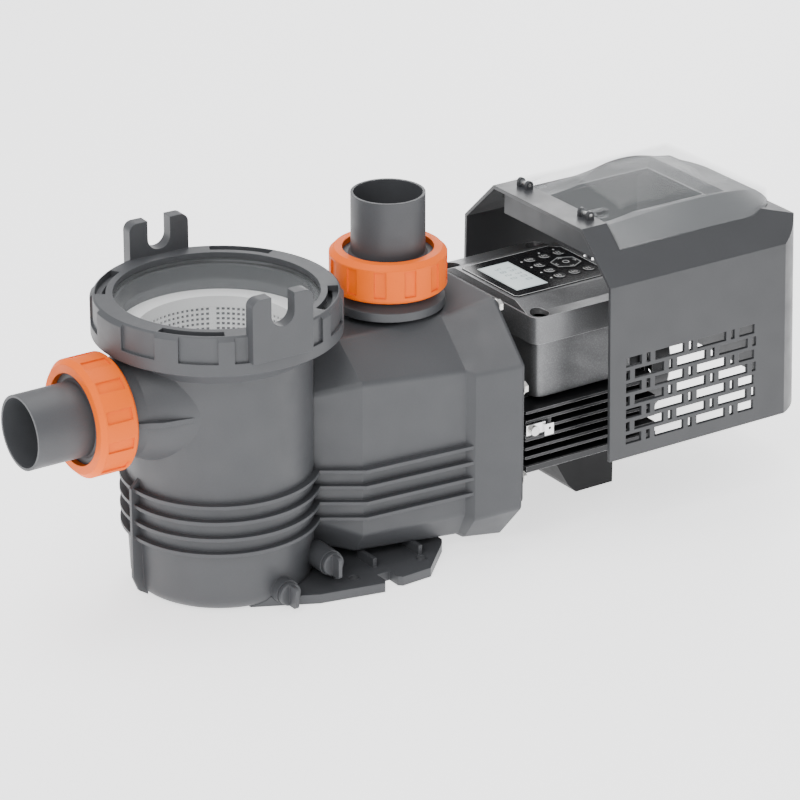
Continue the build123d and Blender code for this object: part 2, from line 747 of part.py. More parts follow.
def cable_gland():
    body = rod_x(6, CTRL_X1 - 6, CTRL_X1 + 1, 52, 153)
    nut = Pos(CTRL_X1, 52, 153) * Rot(0, 90, 0) * extrude(RegularPolygon(9.5, 6), amount=5)
    cap = rod_x(7.5, CTRL_X1 + 4, CTRL_X1 + 13, 52, 153)
    cap = fillet(cap.edges().group_by(Axis.X)[-1], 2)
    return body + nut + cap - rod_x(3.6, CTRL_X1 - 10, CTRL_X1 + 20, 52, 153)


# Hood

def hood_block(inset, rear_round=20.0):
    """The hood's outside, or its inside when inset is the wall."""
    (y_low, z_low), (y_mid, z_mid), (y_top, z_top) = HOOD_PROFILE
    low = z_low - (5 if inset > 0 else 0)
    half = [(y_low - inset, low), (y_mid - inset, z_mid - 0.3 * inset), (y_top - 0.4 * inset,
            z_top - inset)]
    front = HOOD_X0 - (5 if inset > 0 else 0)
    end = HOOD_X1 - inset
    arch = prism_x(mirrored(half), front, end)
    plan_half = y_low + 7.4 - inset
    start = HOOD_X0 - 60
    plan = outline([(start, -plan_half), (end, -plan_half), (end, plan_half), (start, plan_half)])
    plan = fillet(plan.vertices().group_by(Axis.X)[-1], HOOD_CORNER - inset)
    plan = extrude(plan, amount=300, taper=HOOD_DRAFT)
    roof, drop = z_top - inset, z_top - ROOF_REAR_Z
    inner_end = end - 5.5
    side = prism_y([(front, 0), (end, 0), (inner_end, 212), (inner_end, roof - drop * 1.3),
                    (ROOF_BEND_X, roof),
                    (front, roof)], -150, 150)
    high = [e for e in side.edges().filter_by(Axis.Y) if e.center().Z > 215]
    rear = [e for e in high if e.center().X > ROOF_BEND_X + 20]
    side = fillet(rear, rear_round - inset / 2)
    return arch & plan & side


def grille_slots():
    """Brick pattern of slots, cut through both flanks."""
    pitch, height, low, gap = 11.3, 8.2, 72.0, 4.8
    rows = {0: [16, 4, 30, 4, 30, 4, 16], 1: [4, 30, 4, 30, 4, 30, 4]}
    cuts = []
    for k in range(7):
        x = 324.8
        z = low + pitch * k
        for length in rows[k % 2]:
            for s in (1, -1):
                y0, y1 = sorted((s * 96, s * 112))
                cuts.append(box(x, x + length, y0, y1, z, z + height))
            x += length + gap
    return cuts


def dome_plan(grow):
    """Upright block on the dome's plan outline."""
    half = DOME_HALF + grow
    plan = box(DOME_X0 - max(grow, 0), DOME_X1 + grow, -half, half, 222, 300)
    rear = [e for e in plan.edges().filter_by(Axis.Z) if e.center().X > 450]
    return fillet(rear, DOME_CORNER + grow)


def dome_block(inset):
    """Solid under the dome's skin: arch, crest curve and plan outline together."""
    half = DOME_HALF - inset
    side_z = DOME_SIDE_Z
    rise = DOME_RISE - inset
    arch = Pos(0, side_z) * Ellipse(half, rise) + Pos(0, side_z - 8) * Rectangle(2 * half, 16)
    across = extrude(Plane.YZ.offset(DOME_X0) * arch, DOME_X1 - DOME_X0)
    crest = [(x, z - inset) for x, z in DOME_CREST]
    outline = Spline(*crest) + Line(crest[-1], (DOME_X1, 222)) + Line((DOME_X1, 222), (DOME_X0, 222))
    outline = outline + Line((DOME_X0, 222), crest[0])
    along = extrude(Plane.XZ.offset(-120) * make_face(outline), 240)
    return across & along & dome_plan(-inset)


def tray_block(drop):
    """Solid under the tray, low in front and raised behind, dished round the window."""
    slices = []
    half = DOME_HALF + 1
    for x, edge_z, crest, crest_z in TRAY:
        edge_z -= drop
        crest_z -= drop
        corners = [(-half, edge_z), (-crest, crest_z), (crest, crest_z), (half, edge_z), (half, 222),
                   (-half, 222)]
        slices.append(Plane.YZ.offset(x) * make_face(Polyline(*corners, close=True)))
    x0, x1 = WINDOW_X0 - 2, WINDOW_X1 + 2
    dish = []
    for lift in (0, DISH_TALL):
        out = lift * DISH_SPREAD
        face = Rectangle(x1 - x0 + out, 2 * (WINDOW_HALF + 2 + out))
        dish.append(Plane.XY.offset(DISH_Z - drop + lift) * Pos((x0 + x1 + out) / 2, 0) * face)
    return loft(slices) - loft(dish)


def hood_tray():
    """The opaque top under the dome."""
    tray = (tray_block(0) - tray_block(HOOD_WALL)) & dome_plan(0.5)
    rim = (dome_plan(HOOD_WALL) - dome_plan(0.3)) & hood_block(0) & box(300, 600, -120, 120, 229, 260)
    return tray + rim


def hood():
    shell = hood_block(0) - hood_block(HOOD_WALL)
    shell = shell - grille_slots()
    shell -= dome_plan(0.3) & box(DOME_X0, 600, -120, 120, 230, 300)
    shell += hood_tray()
    shell -= box(WINDOW_X0, WINDOW_X1, -WINDOW_HALF, WINDOW_HALF, 225, 290)
    shell += box(SKIRT_X, SKIRT_X + 2, -62, 62, SKIRT_Z, 249)
    for y in (HINGE_Y - 7, HINGE_Y + 4, -HINGE_Y - 7, -HINGE_Y + 4):
        ear = rod_y(3.5, y, y + 3, HINGE_X, HINGE_Z) + box(HINGE_X - 3.5, HINGE_X + 3.5, y, y + 3,
            248.5, HINGE_Z)
        shell += ear
    for y in (HINGE_Y, -HINGE_Y):
        shell -= rod_y(PIN_R, y - 8, y + 8, HINGE_X, HINGE_Z)
        shell -= box(HINGE_X + 3.5, DOME_X0 + 1, y - 4.2, y + 4.2, 251.4, 256)
    return shell


def dome_cover():
    """Clear cover: its front edge is flush with the hood's front band."""
    dome = dome_block(0) - dome_block(DOME_WALL) - tray_block(-0.3)
    dome &= box(DOME_X0 + 0.3, 600, -120, 120, DOME_SIDE_Z + 0.4, 300)
    for y in (HINGE_Y, -HINGE_Y):
        dome += box(HINGE_X, DOME_X0 + 14, y - 3.6, y + 3.6, 251.6, 254.2)
        dome += box(DOME_X0 + 3.5, DOME_X0 + 14, y - 3.6, y + 3.6, 247.6, 254.2)
        dome += rod_y(2.9, y - 3.6, y + 3.6, HINGE_X, HINGE_Z)
    for y in (HINGE_Y, -HINGE_Y):
        dome -= rod_y(PIN_R + 0.05, y - 9, y + 9, HINGE_X, HINGE_Z)
    return dome


def hinge_pins():
    return group([rod_y(PIN_R, y - 7, y + 7, HINGE_X, HINGE_Z) for y in (HINGE_Y, -HINGE_Y)])


def nodes():
    parts = {
        "strainer_pot": strainer_pot, "volute_casing": volute_casing, "pump_base": pump_base,
        "lid_ring": lid_ring, "strainer_lid": strainer_lid,
        "lid_oring": lid_oring, "strainer_basket": strainer_basket, "inlet_nut": inlet_nut,
        "inlet_tailpiece": inlet_tailpiece, "inlet_oring": inlet_oring, "outlet_nut": outlet_nut,
        "outlet_tailpiece": outlet_tailpiece, "outlet_oring": outlet_oring,
        "pot_drain_plug": lambda: drain_plug(*PLUGS["pot"]),
        "volute_drain_plug": lambda: drain_plug(*PLUGS["volute"]),
        "drain_orings": drain_orings, "diffuser": diffuser, "impeller": impeller,
        "impeller_screw": impeller_screw, "seal_plate": seal_plate, "seal_plate_oring": seal_plate_oring,
        "flange_bolts": flange_bolts, "seal_seat": seal_seat, "seal_head": seal_head,
        "motor_shaft": motor_shaft, "rotor_core": rotor_core, "stator_core": stator_core,
        "stator_windings": stator_windings, "motor_frame": motor_frame, "front_endbell": front_endbell,
        "rear_endbell": rear_endbell, "front_bearing": lambda: bearing(237.5),
        "rear_bearing": lambda: bearing(376.5), "motor_tie_bolts": motor_tie_bolts,
        "cooling_fan": cooling_fan, "fan_cover": fan_cover, "motor_foot": motor_foot,
        "bonding_lug": bonding_lug, "bonding_screw": bonding_screw, "controller_base": controller_base,
        "controller_gasket": controller_gasket, "controller_lid": controller_lid, "lid_screws": lid_screws,
        "keypad_overlay": keypad_overlay, "lcd_display": lcd_display, "circuit_board": circuit_board,
        "nav_pad": nav_pad, "enter_key": enter_key, "cable_gland": cable_gland, "hood": hood,
        "dome_cover": dome_cover, "hinge_pins": hinge_pins,
    }
    for k, (x, y) in enumerate(key_places()):
        parts[f"key_{k + 1}"] = lambda x=x, y=y: key_cap(x, y)
    return parts


os.makedirs("parts", exist_ok=True)
for name, make in nodes().items():
    export_step(make(), f"parts/{name}.step")
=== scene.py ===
import json
import math

import bpy
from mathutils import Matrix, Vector


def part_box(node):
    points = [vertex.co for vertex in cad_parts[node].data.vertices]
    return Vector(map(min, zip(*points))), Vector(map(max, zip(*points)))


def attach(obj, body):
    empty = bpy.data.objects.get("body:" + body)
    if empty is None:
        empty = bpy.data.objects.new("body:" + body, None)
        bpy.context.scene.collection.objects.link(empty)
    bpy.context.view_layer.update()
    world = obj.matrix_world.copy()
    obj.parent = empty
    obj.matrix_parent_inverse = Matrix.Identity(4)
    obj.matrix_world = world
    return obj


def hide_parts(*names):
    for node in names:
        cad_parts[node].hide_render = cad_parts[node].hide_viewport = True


# Looks of the pool pump, in metres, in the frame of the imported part.

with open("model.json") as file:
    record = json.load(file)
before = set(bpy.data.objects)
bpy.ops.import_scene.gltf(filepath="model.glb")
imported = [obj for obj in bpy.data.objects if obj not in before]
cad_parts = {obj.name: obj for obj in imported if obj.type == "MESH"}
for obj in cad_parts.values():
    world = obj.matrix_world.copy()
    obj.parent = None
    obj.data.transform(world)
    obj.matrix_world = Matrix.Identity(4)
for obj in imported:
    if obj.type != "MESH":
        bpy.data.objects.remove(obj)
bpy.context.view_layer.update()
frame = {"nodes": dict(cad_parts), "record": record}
NODES = frame["nodes"]
MM = 0.001


# ---------------------------------------------------------------- node helpers

EDGE_WIDTH = 0.8 * MM
BEVEL_SAMPLES = 4


class Shader:
    """A principled material and short ways to feed it."""

    def __init__(self, name, colour, roughness, metallic=0.0):
        self.material = bpy.data.materials.new(name)
        self.material.use_nodes = True
        self.tree = self.material.node_tree
        self.bsdf = self.tree.nodes["Principled BSDF"]
        self.set("Base Color", (*colour, 1.0))
        self.set("Roughness", roughness)
        self.set("Metallic", metallic)
        self.place = self.node("ShaderNodeTexCoord").outputs["Object"]

    def set(self, socket, value):
        self.bsdf.inputs[socket].default_value = value

    def node(self, kind, **values):
        made = self.tree.nodes.new(kind)
        for key, value in values.items():
            setattr(made, key, value)
        return made

    def link(self, out, into):
        self.tree.links.new(out, into)

    def noise(self, size, detail=2.0, rough=0.5, stretch=None):
        """Noise whose blobs are about this many metres across."""
        noise = self.node("ShaderNodeTexNoise")
        noise.inputs["Scale"].default_value = 1.0 / size
        noise.inputs["Detail"].default_value = detail
        noise.inputs["Roughness"].default_value = rough
        source = self.place
        if stretch:
            mapping = self.node("ShaderNodeMapping")
            mapping.inputs["Scale"].default_value = stretch
            self.link(source, mapping.inputs["Vector"])
            source = mapping.outputs["Vector"]
        self.link(source, noise.inputs["Vector"])
        return noise.outputs["Fac"]

    def bands(self, scale, distortion=0.0):
        """Straight stripes across x."""
        wave = self.node("ShaderNodeTexWave", wave_type="BANDS", bands_direction="X")
        wave.inputs["Scale"].default_value = scale
        wave.inputs["Distortion"].default_value = distortion
        self.link(self.place, wave.inputs["Vector"])
        return wave.outputs["Fac"]

    def span(self, value, low, high, from_low=0.3, from_high=0.7):
        """The value, carried from one range to another."""
        ranged = self.node("ShaderNodeMapRange")
        self.link(value, ranged.inputs["Value"])
        limits = (("From Min", from_low), ("From Max", from_high),
                  ("To Min", low), ("To Max", high))
        for key, number in limits:
            ranged.inputs[key].default_value = number
        return ranged.outputs["Result"]

    def mix(self, factor, first, second):
        """Two colours, each a plain one or an output, mixed by a factor."""
        mixer = self.node("ShaderNodeMix", data_type="RGBA")
        self.link(factor, mixer.inputs["Factor"])
        for socket, value in ((mixer.inputs["A"], first), (mixer.inputs["B"], second)):
            if isinstance(value, tuple):
                socket.default_value = (*value, 1.0)
            else:
                self.link(value, socket)
        return mixer.outputs["Result"]

    def colour(self, source):
        self.link(source, self.bsdf.inputs["Base Color"])

    def roughness(self, source):
        self.link(source, self.bsdf.inputs["Roughness"])

    def bevel(self, radius):
        """Normal of the surface with its edges rounded."""
        bevel = self.node("ShaderNodeBevel", samples=BEVEL_SAMPLES)
        bevel.inputs["Radius"].default_value = radius
        return bevel.outputs["Normal"]

    def bump(self, *layers, rounding=0.0):
        """Stack (height, depth in metres) layers over softly rounded edges."""
        normal = self.bevel(rounding) if rounding else None
        for height, depth in layers:
            bump = self.node("ShaderNodeBump")
            bump.inputs["Distance"].default_value = depth
            bump.inputs["Strength"].default_value = 1.0
            self.link(height, bump.inputs["Height"])
            if normal:
                self.link(normal, bump.inputs["Normal"])
            normal = bump.outputs["Normal"]
        self.link(normal, self.bsdf.inputs["Normal"])

    def edges(self):
        """Mask for the painted edge highlight: white along sharp edges, where a rounded normal
        leaves the true one.
        """
        geometry = self.node("ShaderNodeNewGeometry")
        dot = self.node("ShaderNodeVectorMath", operation="DOT_PRODUCT")
        self.link(geometry.outputs["Normal"], dot.inputs[0])
        self.link(self.bevel(EDGE_WIDTH), dot.inputs[1])
        return self.span(dot.outputs["Value"], 1.0, 0.0, 0.86, 0.985)


def shade(colour, factor):
    return tuple(min(1.0, channel * factor) for channel in colour)


# ------------------------------------------------------------------- materials

CLEAR_ALPHA = 0.10
CLEAR_IOR = 1.46


def moulded(name, colour, roughness=0.48, grain=0.00002, rounding=0.0009, edge_highlight_strength=0.12):
    """Injection-moulded plastic: spark-eroded grain, faint flow marks and paler edges, a painted
    highlight.
    """
    s = Shader(name, colour, roughness)
    cloud = s.noise(0.09, 3.0)
    base = s.mix(s.span(cloud, 0.0, 1.0), shade(colour, 0.93), shade(colour, 1.07))
    speck = s.noise(0.0011, 2.0, 0.6)
    base = s.mix(s.span(speck, 0.0, 0.16, 0.35, 0.75), base, shade(colour, 1.5))
    # paler sharp edges: painted highlight
    painted_edge_highlight = s.mix(s.edges(), base, shade(colour, 1.0 + 2.5 * edge_highlight_strength))
    s.colour(painted_edge_highlight)
    s.roughness(s.span(s.noise(0.02, 4.0), roughness - 0.05, roughness + 0.07))
    s.bump((s.noise(0.0007, 3.0, 0.65), grain), (s.noise(0.03, 2.0), 0.00005), rounding=rounding)
    return s.material


def clear_plastic(name, tint, roughness):
    """Clear moulding, a little grey, with faint ripples and hazy patches."""
    s = Shader(name, tint, roughness)
    s.set("IOR", CLEAR_IOR)
    s.set("Alpha", CLEAR_ALPHA)
    s.roughness(s.span(s.noise(0.05, 3.0), roughness, roughness + 0.03))
    s.bump((s.noise(0.06, 2.0), 0.00006))
    s.material.surface_render_method = "BLENDED"
    return s.material


def rubber(name):
    """Black rubber, dusty in patches."""
    s = Shader(name, (0.012, 0.012, 0.013), 0.6)
    dust = s.span(s.noise(0.004, 3.0), 0.0, 1.0)
    s.colour(s.mix(dust, (0.010, 0.010, 0.011), (0.022, 0.022, 0.023)))
    s.roughness(s.span(s.noise(0.002), 0.5, 0.7))
    s.bump((s.noise(0.0005), 0.00001))
    return s.material


def cast_paint(name, colour, roughness, metallic, edge):
    """Powder-coated casting: orange peel over a faint metallic flake, edges painted bright as a
    highlight.
    """
    s = Shader(name, colour, roughness, metallic)
    flake = s.span(s.noise(0.0009, 1.0), 0.0, 1.0, 0.45, 0.7)
    base = s.mix(flake, shade(colour, 0.9), shade(colour, 1.25))
    # sharp edges mixed towards a pale grey: painted highlight
    s.colour(s.mix(s.edges(), base, (edge, edge, edge * 1.02)))
    s.roughness(s.span(s.noise(0.012, 3.0), roughness - 0.05, roughness + 0.08))
    s.set("Coat Weight", 0.25)
    s.set("Coat Roughness", 0.22)
    s.bump((s.noise(0.0016, 2.0), 0.00003), (s.noise(0.02, 2.0), 0.00006), rounding=0.0008)
    return s.material


def machined(name, colour, roughness, stretch):
    """Turned or drawn metal with fine lines along one axis."""
    s = Shader(name, colour, roughness, 1.0)
    lines = s.noise(0.0012, 4.0, 0.7, stretch)
    s.colour(s.mix(s.span(lines, 0.0, 1.0), shade(colour, 0.82), shade(colour, 1.12)))
    s.roughness(s.span(lines, roughness - 0.06, roughness + 0.1))
    s.bump((lines, 0.000015), rounding=0.0004)
    return s.material


def copper_wire(name):
    """Enamelled turns of a winding."""
    s = Shader(name, (0.55, 0.2, 0.07), 0.35, 0.9)
    turns = s.bands(160.0, 1.5)
    s.colour(s.mix(turns, (0.35, 0.11, 0.04), (0.68, 0.28, 0.1)))
    s.bump((turns, 0.0003))
    return s.material


def film(name, colour, roughness, scratched=0.05):
    """Printed polyester film, with hair-fine scratches."""
    s = Shader(name, colour, roughness)
    hairs = s.noise(0.003, 5.0, 0.75, (1.0, 14.0, 1.0))
    s.colour(s.mix(s.span(hairs, 0.0, 1.0, 0.55, 0.75), colour, shade(colour, 1.0 + 6 * scratched)))
    s.roughness(s.span(hairs, roughness, roughness + scratched * 2))
    s.bump((s.noise(0.0009), 0.000006), rounding=0.0002)
    return s.material


def liquid_crystal(name):
    """Lit display glass with a slight cloud."""
    s = Shader(name, (0.72, 0.80, 0.80), 0.25)
    s.colour(s.mix(s.span(s.noise(0.02), 0.0, 1.0), (0.64, 0.74, 0.75), (0.78, 0.84, 0.83)))
    s.set("Emission Color", (0.75, 0.86, 0.88, 1.0))
    s.set("Emission Strength", 0.35)
    s.set("Coat Weight", 0.6)
    s.set("Coat Roughness", 0.05)
    s.bump((s.noise(0.0006), 0.000004))
    return s.material


def laminated(name):
    """Stacked steel sheets seen edge on."""
    s = Shader(name, (0.20, 0.20, 0.21), 0.45, 0.9)
    sheets = s.bands(320.0)
    s.colour(s.mix(sheets, (0.12, 0.12, 0.125), (0.26, 0.26, 0.27)))
    s.bump((sheets, 0.00015))
    return s.material


def solder_mask(name):
    """Green lacquer of a circuit board."""
    s = Shader(name, (0.01, 0.09, 0.04), 0.35)
    tracks = s.span(s.noise(0.006, 4.0), 0.0, 1.0, 0.45, 0.55)
    s.colour(s.mix(tracks, (0.008, 0.07, 0.03), (0.02, 0.13, 0.06)))
    s.bump((s.noise(0.003), 0.00005), rounding=0.0003)
    return s.material


CASE_GREY = (0.052, 0.054, 0.0585)
MATERIALS = {
    "casing": moulded("CasingPlastic", CASE_GREY, 0.46),
    "hood_grey": moulded("HoodPlastic", shade(CASE_GREY, 0.72), 0.40),
    "pipe_black": moulded("PipePlastic", shade(CASE_GREY, 1.02), 0.50, 0.000012),
    "union_orange": moulded("UnionOrange", (0.88, 0.13, 0.0), 0.5, 0.000008, 0.0011, 0.0),
    "clear_lid": clear_plastic("ClearLid", (0.50, 0.52, 0.53), 0.03),
    "basket_white": moulded("BasketWhite", (0.92, 0.92, 0.915), 0.42, 0.000008, 0.0003, 0.0),
    "seal_rubber": rubber("SealRubber"),
    "wet_plastic": moulded("WetEndPlastic", (0.03, 0.03, 0.033), 0.5),
    "seal_ceramic": moulded("SealCeramic", (0.8, 0.76, 0.68), 0.2, 0.000004),
    "seal_metal": machined("SealMetal", (0.62, 0.62, 0.64), 0.3, (60.0, 1.0, 1.0)),
    "fastener_steel": machined("FastenerSteel", (0.66, 0.65, 0.63), 0.26, (1.0, 8.0, 8.0)),
    "shaft_steel": machined("ShaftSteel", (0.6, 0.6, 0.62), 0.25, (60.0, 1.0, 1.0)),
    "lamination": laminated("Laminations"),
    "winding_copper": copper_wire("WindingCopper"),
    # the last cast_paint argument is the grey of the painted edge highlight
    "motor_black": cast_paint("MotorPaint", (0.014, 0.0145, 0.016), 0.34, 0.5, 0.35),
    "foot_black": moulded("FootPlastic", (0.006, 0.006, 0.007), 0.5),
    "bright_lug": machined("BrightLug", (0.85, 0.85, 0.84), 0.2, (2.0, 10.0, 10.0)),
    "controller_grey": cast_paint("ControllerCasting", (0.155, 0.157, 0.161), 0.34, 0.6, 0.55),
    "panel_dark": film("PanelFilm", (0.006, 0.006, 0.007), 0.2),
    "lcd": liquid_crystal("LiquidCrystal"),
    "board_green": solder_mask("CircuitBoard"),
    "key_caps": film("KeyFilm", (0.012, 0.012, 0.013), 0.24),
}
GLOSS = {"union_orange": 0.2, "foot_black": 0.25}      # specular level, where not the usual 0.5


def dress_cad_nodes():
    for slot, level in GLOSS.items():
        bsdf = MATERIALS[slot].node_tree.nodes["Principled BSDF"]
        bsdf.inputs["Specular IOR Level"].default_value = level
    for part in frame["record"]["subparts"]:
        mesh = NODES[part["node"]].data
        mesh.materials.clear()
        mesh.materials.append(MATERIALS[part["material_slot"]])


# ---------------------------------------------------------------- mesh helpers

class Solid:
    """Collects vertices and faces for one piece."""

    def __init__(self):
        self.verts, self.faces = [], []

    def add(self, verts, faces):
        start = len(self.verts)
        self.verts += verts
        self.faces += [[start + i for i in face] for face in faces]

    def lathe(self, profile, centre=(0, 0), steps=96):
        """A closed (r, z) outline turned about a vertical axis."""
        n = len(profile)
        verts, faces = [], []
        for k in range(steps):
            a = math.tau * k / steps
            for r, z in profile:
                verts.append((centre[0] + r * math.cos(a), centre[1] + r * math.sin(a), z))
        for k in range(steps):
            here, there = k * n, (k + 1) % steps * n
            for i in range(n):
                j = (i + 1) % n
                faces.append([here + i, there + i, there + j, here + j])
        self.add(verts, faces)

    def ribbon(self, points, width, low, high):
        """A flat stroke of this width along (x, y) points, between two heights."""
        left, right = [], []
        for i, (x, y) in enumerate(points):
            x0, y0 = points[max(i - 1, 0)]
            x1, y1 = points[min(i + 1, len(points) - 1)]
            length = math.hypot(x1 - x0, y1 - y0)
            nx, ny = -(y1 - y0) / length * width / 2, (x1 - x0) / length * width / 2
            left.append((x + nx, y + ny))
            right.append((x - nx, y - ny))
        rim = left + right[::-1]
        n = len(rim)
        verts = [(x, y, low) for x, y in rim] + [(x, y, high) for x, y in rim]
        faces = [[i, (i + 1) % n, n + (i + 1) % n, n + i] for i in range(n)]
        for i in range(len(points) - 1):
            a, b, c, d = i, i + 1, n - 2 - i, n - 1 - i
            faces.append([d, c, b, a])
            faces.append([n + a, n + b, n + c, n + d])
        self.add(verts, faces)

    def piece(self, name, slot, body, material=None):
        """Makes the object; its material is the slot's unless one is given."""
        mesh = bpy.data.meshes.new(name)
        mesh.from_pydata(self.verts, [], self.faces)
        mesh.validate()
        made = bpy.data.objects.new(name, mesh)
        bpy.context.scene.collection.objects.link(made)
        mesh.materials.append(material or MATERIALS[slot])
        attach(made, body)
        return made


def arc(centre, radius, start, end, steps=10):
    """Points along an arc; the angles are in degrees."""
    points = []
    for k in range(steps + 1):
        a = math.radians(start + (end - start) * k / steps)
        points.append((centre[0] + radius * math.cos(a), centre[1] + radius * math.sin(a)))
    return points


def middle(low, high):
    """Centre of a box, seen from above."""
    return (low.x + high.x) / 2, (low.y + high.y) / 2


# -------------------------------------------------------------- strainer basket

BASKET_WALL = 1.6 * MM
BASKET_R_LOW, BASKET_R_TOP = 58 * MM, 65.5 * MM
PLAIN_BELOW, PLAIN_ABOVE = 5 * MM, 9 * MM        # unpierced wall under and over the mesh
BASKET_COLUMNS, BASKET_ROWS = 96, 42
HOLE_SHARE = 0.60                 # side of a hole over the pitch of the holes
COLUMN_GAP, BAND_GAP = 16, 15     # a plain column, and a plain band, every so many cells
MOUTH_R, MOUTH_RIM = 27 * MM, 4 * MM
RIM_DEPTH, RIM_CHAMFER, RIM_LAP = 3.2 * MM, 0.6 * MM, 0.2 * MM
FLOOR_DEPTH = 2.2 * MM
FLOOR_TUCK_OUT, FLOOR_TUCK_IN = 1 * MM, 3 * MM   # floor's outer and inner edge, in from the wall
AXIS_GAP = 0.5 * MM               # hole left on the axis of a turned floor
RIB_COUNT, RIB_PITCH, RIB_WIDTH = 4, 12 * MM, 1.4 * MM
RIB_LOW, RIB_HIGH = 2.1 * MM, 3.6 * MM           # heights over the underside of the floor


def strainer_basket():
    """Perforated basket: a fine square mesh in a rim, with a mouth for the inlet."""
    low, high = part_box("strainer_basket")
    rim_r = high.x
    floor_z, rim_z = low.z, high.z
    mesh_low, mesh_high = floor_z + PLAIN_BELOW, rim_z - PLAIN_ABOVE
    pipe_low, pipe_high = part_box("inlet_tailpiece")
    inlet_z = (pipe_low.z + pipe_high.z) / 2

    def radius(z):
        return BASKET_R_LOW + (BASKET_R_TOP - BASKET_R_LOW) * (z - floor_z) / (rim_z - floor_z)

    def point(a, z, inward):
        r = radius(z) - inward
        return (r * math.cos(a), r * math.sin(a), z)

    wall = Solid()
    step_a = math.tau / BASKET_COLUMNS
    step_z = (mesh_high - mesh_low) / BASKET_ROWS
    margin = (1 - HOLE_SHARE) / 2
    da, dz = step_a * margin, step_z * margin

    for row in range(BASKET_ROWS):
        for column in range(BASKET_COLUMNS):
            a0, z0 = column * step_a, mesh_low + row * step_z
            middle_a, middle_z = a0 + step_a / 2, z0 + step_z / 2
            across = radius(middle_z) * math.sin(middle_a)
            reach = math.hypot(across, middle_z - inlet_z)
            facing_inlet = math.cos(middle_a) < 0
            if facing_inlet and reach < MOUTH_R:
                continue
            mouth_rim = facing_inlet and reach < MOUTH_R + MOUTH_RIM
            plain_band = column % COLUMN_GAP == 0 or row % BAND_GAP == BAND_GAP - 1
            outer = [(a0, z0), (a0 + step_a, z0), (a0 + step_a, z0 + step_z), (a0, z0 + step_z)]
            if plain_band or mouth_rim:
                for inward, order in ((0, 1), (BASKET_WALL, -1)):
                    wall.add([point(a, z, inward) for a, z in outer], [[0, 1, 2, 3][::order]])
                continue
            inner = [(a0 + da, z0 + dz), (a0 + step_a - da, z0 + dz),
                     (a0 + step_a - da, z0 + step_z - dz), (a0 + da, z0 + step_z - dz)]
            verts = [point(a, z, 0) for a, z in outer + inner]
            verts += [point(a, z, BASKET_WALL) for a, z in outer + inner]
            faces = []
            for i in range(4):
                j = (i + 1) % 4
                faces.append([i, j, 4 + j, 4 + i])
                faces.append([8 + j, 8 + i, 12 + i, 12 + j])
                faces.append([4 + i, 4 + j, 12 + j, 12 + i])
            wall.add(verts, faces)
    wall.lathe([(radius(mesh_high), mesh_high), (radius(rim_z) - RIM_LAP, rim_z - RIM_DEPTH),
                (rim_r, rim_z - RIM_DEPTH), (rim_r, rim_z - RIM_CHAMFER),
                (rim_r - RIM_CHAMFER, rim_z), (radius(rim_z) - BASKET_WALL, rim_z),
                (radius(mesh_high) - BASKET_WALL, mesh_high)])
    wall.lathe([(AXIS_GAP, floor_z), (BASKET_R_LOW - FLOOR_TUCK_OUT, floor_z),
                (radius(mesh_low), mesh_low), (radius(mesh_low) - BASKET_WALL, mesh_low),
                (BASKET_R_LOW - FLOOR_TUCK_IN, floor_z + FLOOR_DEPTH),
                (AXIS_GAP, floor_z + FLOOR_DEPTH)])
    for ring in range(1, RIB_COUNT + 1):
        r = RIB_PITCH * ring
        wall.lathe([(r, floor_z + RIB_LOW), (r + RIB_WIDTH, floor_z + RIB_LOW),
                    (r + RIB_WIDTH, floor_z + RIB_HIGH), (r, floor_z + RIB_HIGH)])
    piece = wall.piece("BasketMesh", "basket_white", "basket")
    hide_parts("strainer_basket")


# ------------------------------------------------------------------ keypad marks

KEY_COUNT = 8
STROKE, THIN_STROKE = 0.7 * MM, 0.5 * MM
MARK_SINK, MARK_RISE = 0.05 * MM, 0.12 * MM      # how far print goes into and out of a key
LCD_SINK, LCD_RISE = 0.02 * MM, 0.05 * MM        # the same for the display
ARROW_STROKE, ARROW_REACH = 0.8 * MM, 8.4 * MM
ARROW_LONG, ARROW_HALF = 1.5 * MM, 1.8 * MM
NEARLY_ROUND = 359                               # degrees: a ring that doesn't meet itself
NAV_EDGE_STROKE = 0.6 * MM
ENTER_R = 2.6 * MM
LAMP_R, LAMP_STEPS = 1.0 * MM, 20
LAMP_SPOTS = [(309, 21), (309, 7), (309, -7), (309, -21), (332.8, 29.6), (347.7, 29.9)]


def print_heights(top):
    return top - MARK_SINK, top + MARK_RISE


def marks():
    """Plain generic strokes on the keys: no letters."""
    ink = film("MarkInk", (0.78, 0.80, 0.80), 0.4, 0.01)
    for k in range(KEY_COUNT):
        low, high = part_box(f"key_{k + 1}")
        cx, cy = middle(low, high)
        r = (high.x - low.x) / 2
        heights = print_heights(high.z)
        mark = Solid()
        mark.ribbon(arc((cx, cy), r * 0.83, 150, 300), STROKE, *heights)
        x = cx - 1.6 * MM
        mark.ribbon([(x, cy - 1.2 * MM), (x, cy + 2.2 * MM)], STROKE, *heights)
        if k % 2:
            x = cx + 0.6 * MM
            mark.ribbon([(x, cy - 2.0 * MM), (x, cy + 2.0 * MM)], STROKE, *heights)
        else:
            ring = arc((cx + 1.2 * MM, cy), 1.5 * MM, 0, NEARLY_ROUND, 14)
            mark.ribbon(ring, THIN_STROKE, *heights)
        mark.piece(f"KeyMark{k + 1}", "key_caps", f"key{k + 1}", ink)
    nav_marks(ink)
    low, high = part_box("enter_key")
    oval = Solid()
    ring = arc(middle(low, high), ENTER_R, 0, NEARLY_ROUND, 20)
    oval.ribbon(ring, ARROW_STROKE, *print_heights(high.z))
    oval.piece("EnterMark", "key_caps", "enter", ink)
    return ink


